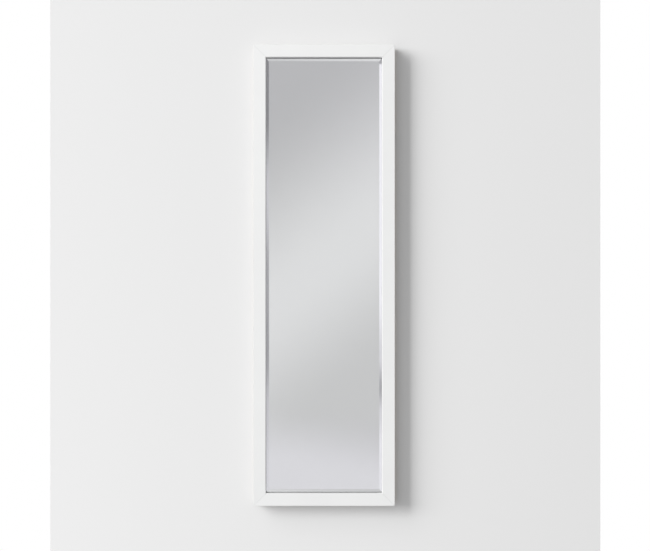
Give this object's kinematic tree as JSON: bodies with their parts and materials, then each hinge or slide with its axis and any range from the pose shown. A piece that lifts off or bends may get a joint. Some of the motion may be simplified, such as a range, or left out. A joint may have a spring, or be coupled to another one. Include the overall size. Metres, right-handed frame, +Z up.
{
  "type": "wall mirror",
  "caption": "Full-length rectangular wall mirror: bevelled glass in a flat white mitred frame, with a closed back and swinging ring hangers.",
  "frame": {"origin": "in the wall plane, behind the middle of the mirror", "axes": "+Z up, +Y towards the wall, +X to the right as seen from the front, so the mirror faces -Y"},
  "size_m": [0.4676, 0.03, 1.524],
  "materials": {
    "frame_paint": "satin",
    "wedge_steel": "satin",
    "mirror_glass": "gloss",
    "silvering": "polished",
    "bedding_tape": "matte",
    "block_rubber": "matte",
    "corrugated_board": "matte",
    "hardboard": "satin",
    "screw_zinc": "satin",
    "strap_zinc": "satin",
    "ring_zinc": "satin",
    "bumper_rubber": "satin"
  },
  "bodies": {
    "mirror": {"stile_left": "frame_paint", "stile_right": "frame_paint", "rail_top": "frame_paint", "rail_bottom": "frame_paint", "wedges_top_left": "wedge_steel", "wedges_top_right": "wedge_steel", "wedges_bottom_left": "wedge_steel", "wedges_bottom_right": "wedge_steel", "mirror_glass": "mirror_glass", "mirror_coating": "silvering", "bedding_tape_left": "bedding_tape", "bedding_tape_right": "bedding_tape", "bedding_tape_top": "bedding_tape", "bedding_tape_bottom": "bedding_tape", "setting_block_left": "block_rubber", "setting_block_right": "block_rubber", "filler_board": "corrugated_board", "back_panel": "hardboard", "panel_screws_left": "screw_zinc", "panel_screws_right": "screw_zinc", "panel_screws_top": "screw_zinc", "panel_screws_bottom": "screw_zinc", "strap_screws_left": "screw_zinc", "strap_screws_right": "screw_zinc", "hanger_strap_left": "strap_zinc", "hanger_strap_right": "strap_zinc", "bumper_top_left": "bumper_rubber", "bumper_top_right": "bumper_rubber", "bumper_bottom_left": "bumper_rubber", "bumper_bottom_right": "bumper_rubber"},
    "ring_left": {"hanger_ring_left": "ring_zinc"},
    "ring_right": {"hanger_ring_right": "ring_zinc"}
  },
  "joints": [
    {"name": "ring_left_hinge", "type": "hinge", "parent": "mirror", "child": "ring_left", "pos_m": [-0.221, -0.00282, 0.462], "axis": [1, 0, 0], "range_deg": [0, 178.5]},
    {"name": "ring_right_hinge", "type": "hinge", "parent": "mirror", "child": "ring_right", "pos_m": [0.221, -0.00282, 0.462], "axis": [1, 0, 0], "range_deg": [0, 178.5]}
  ]
}
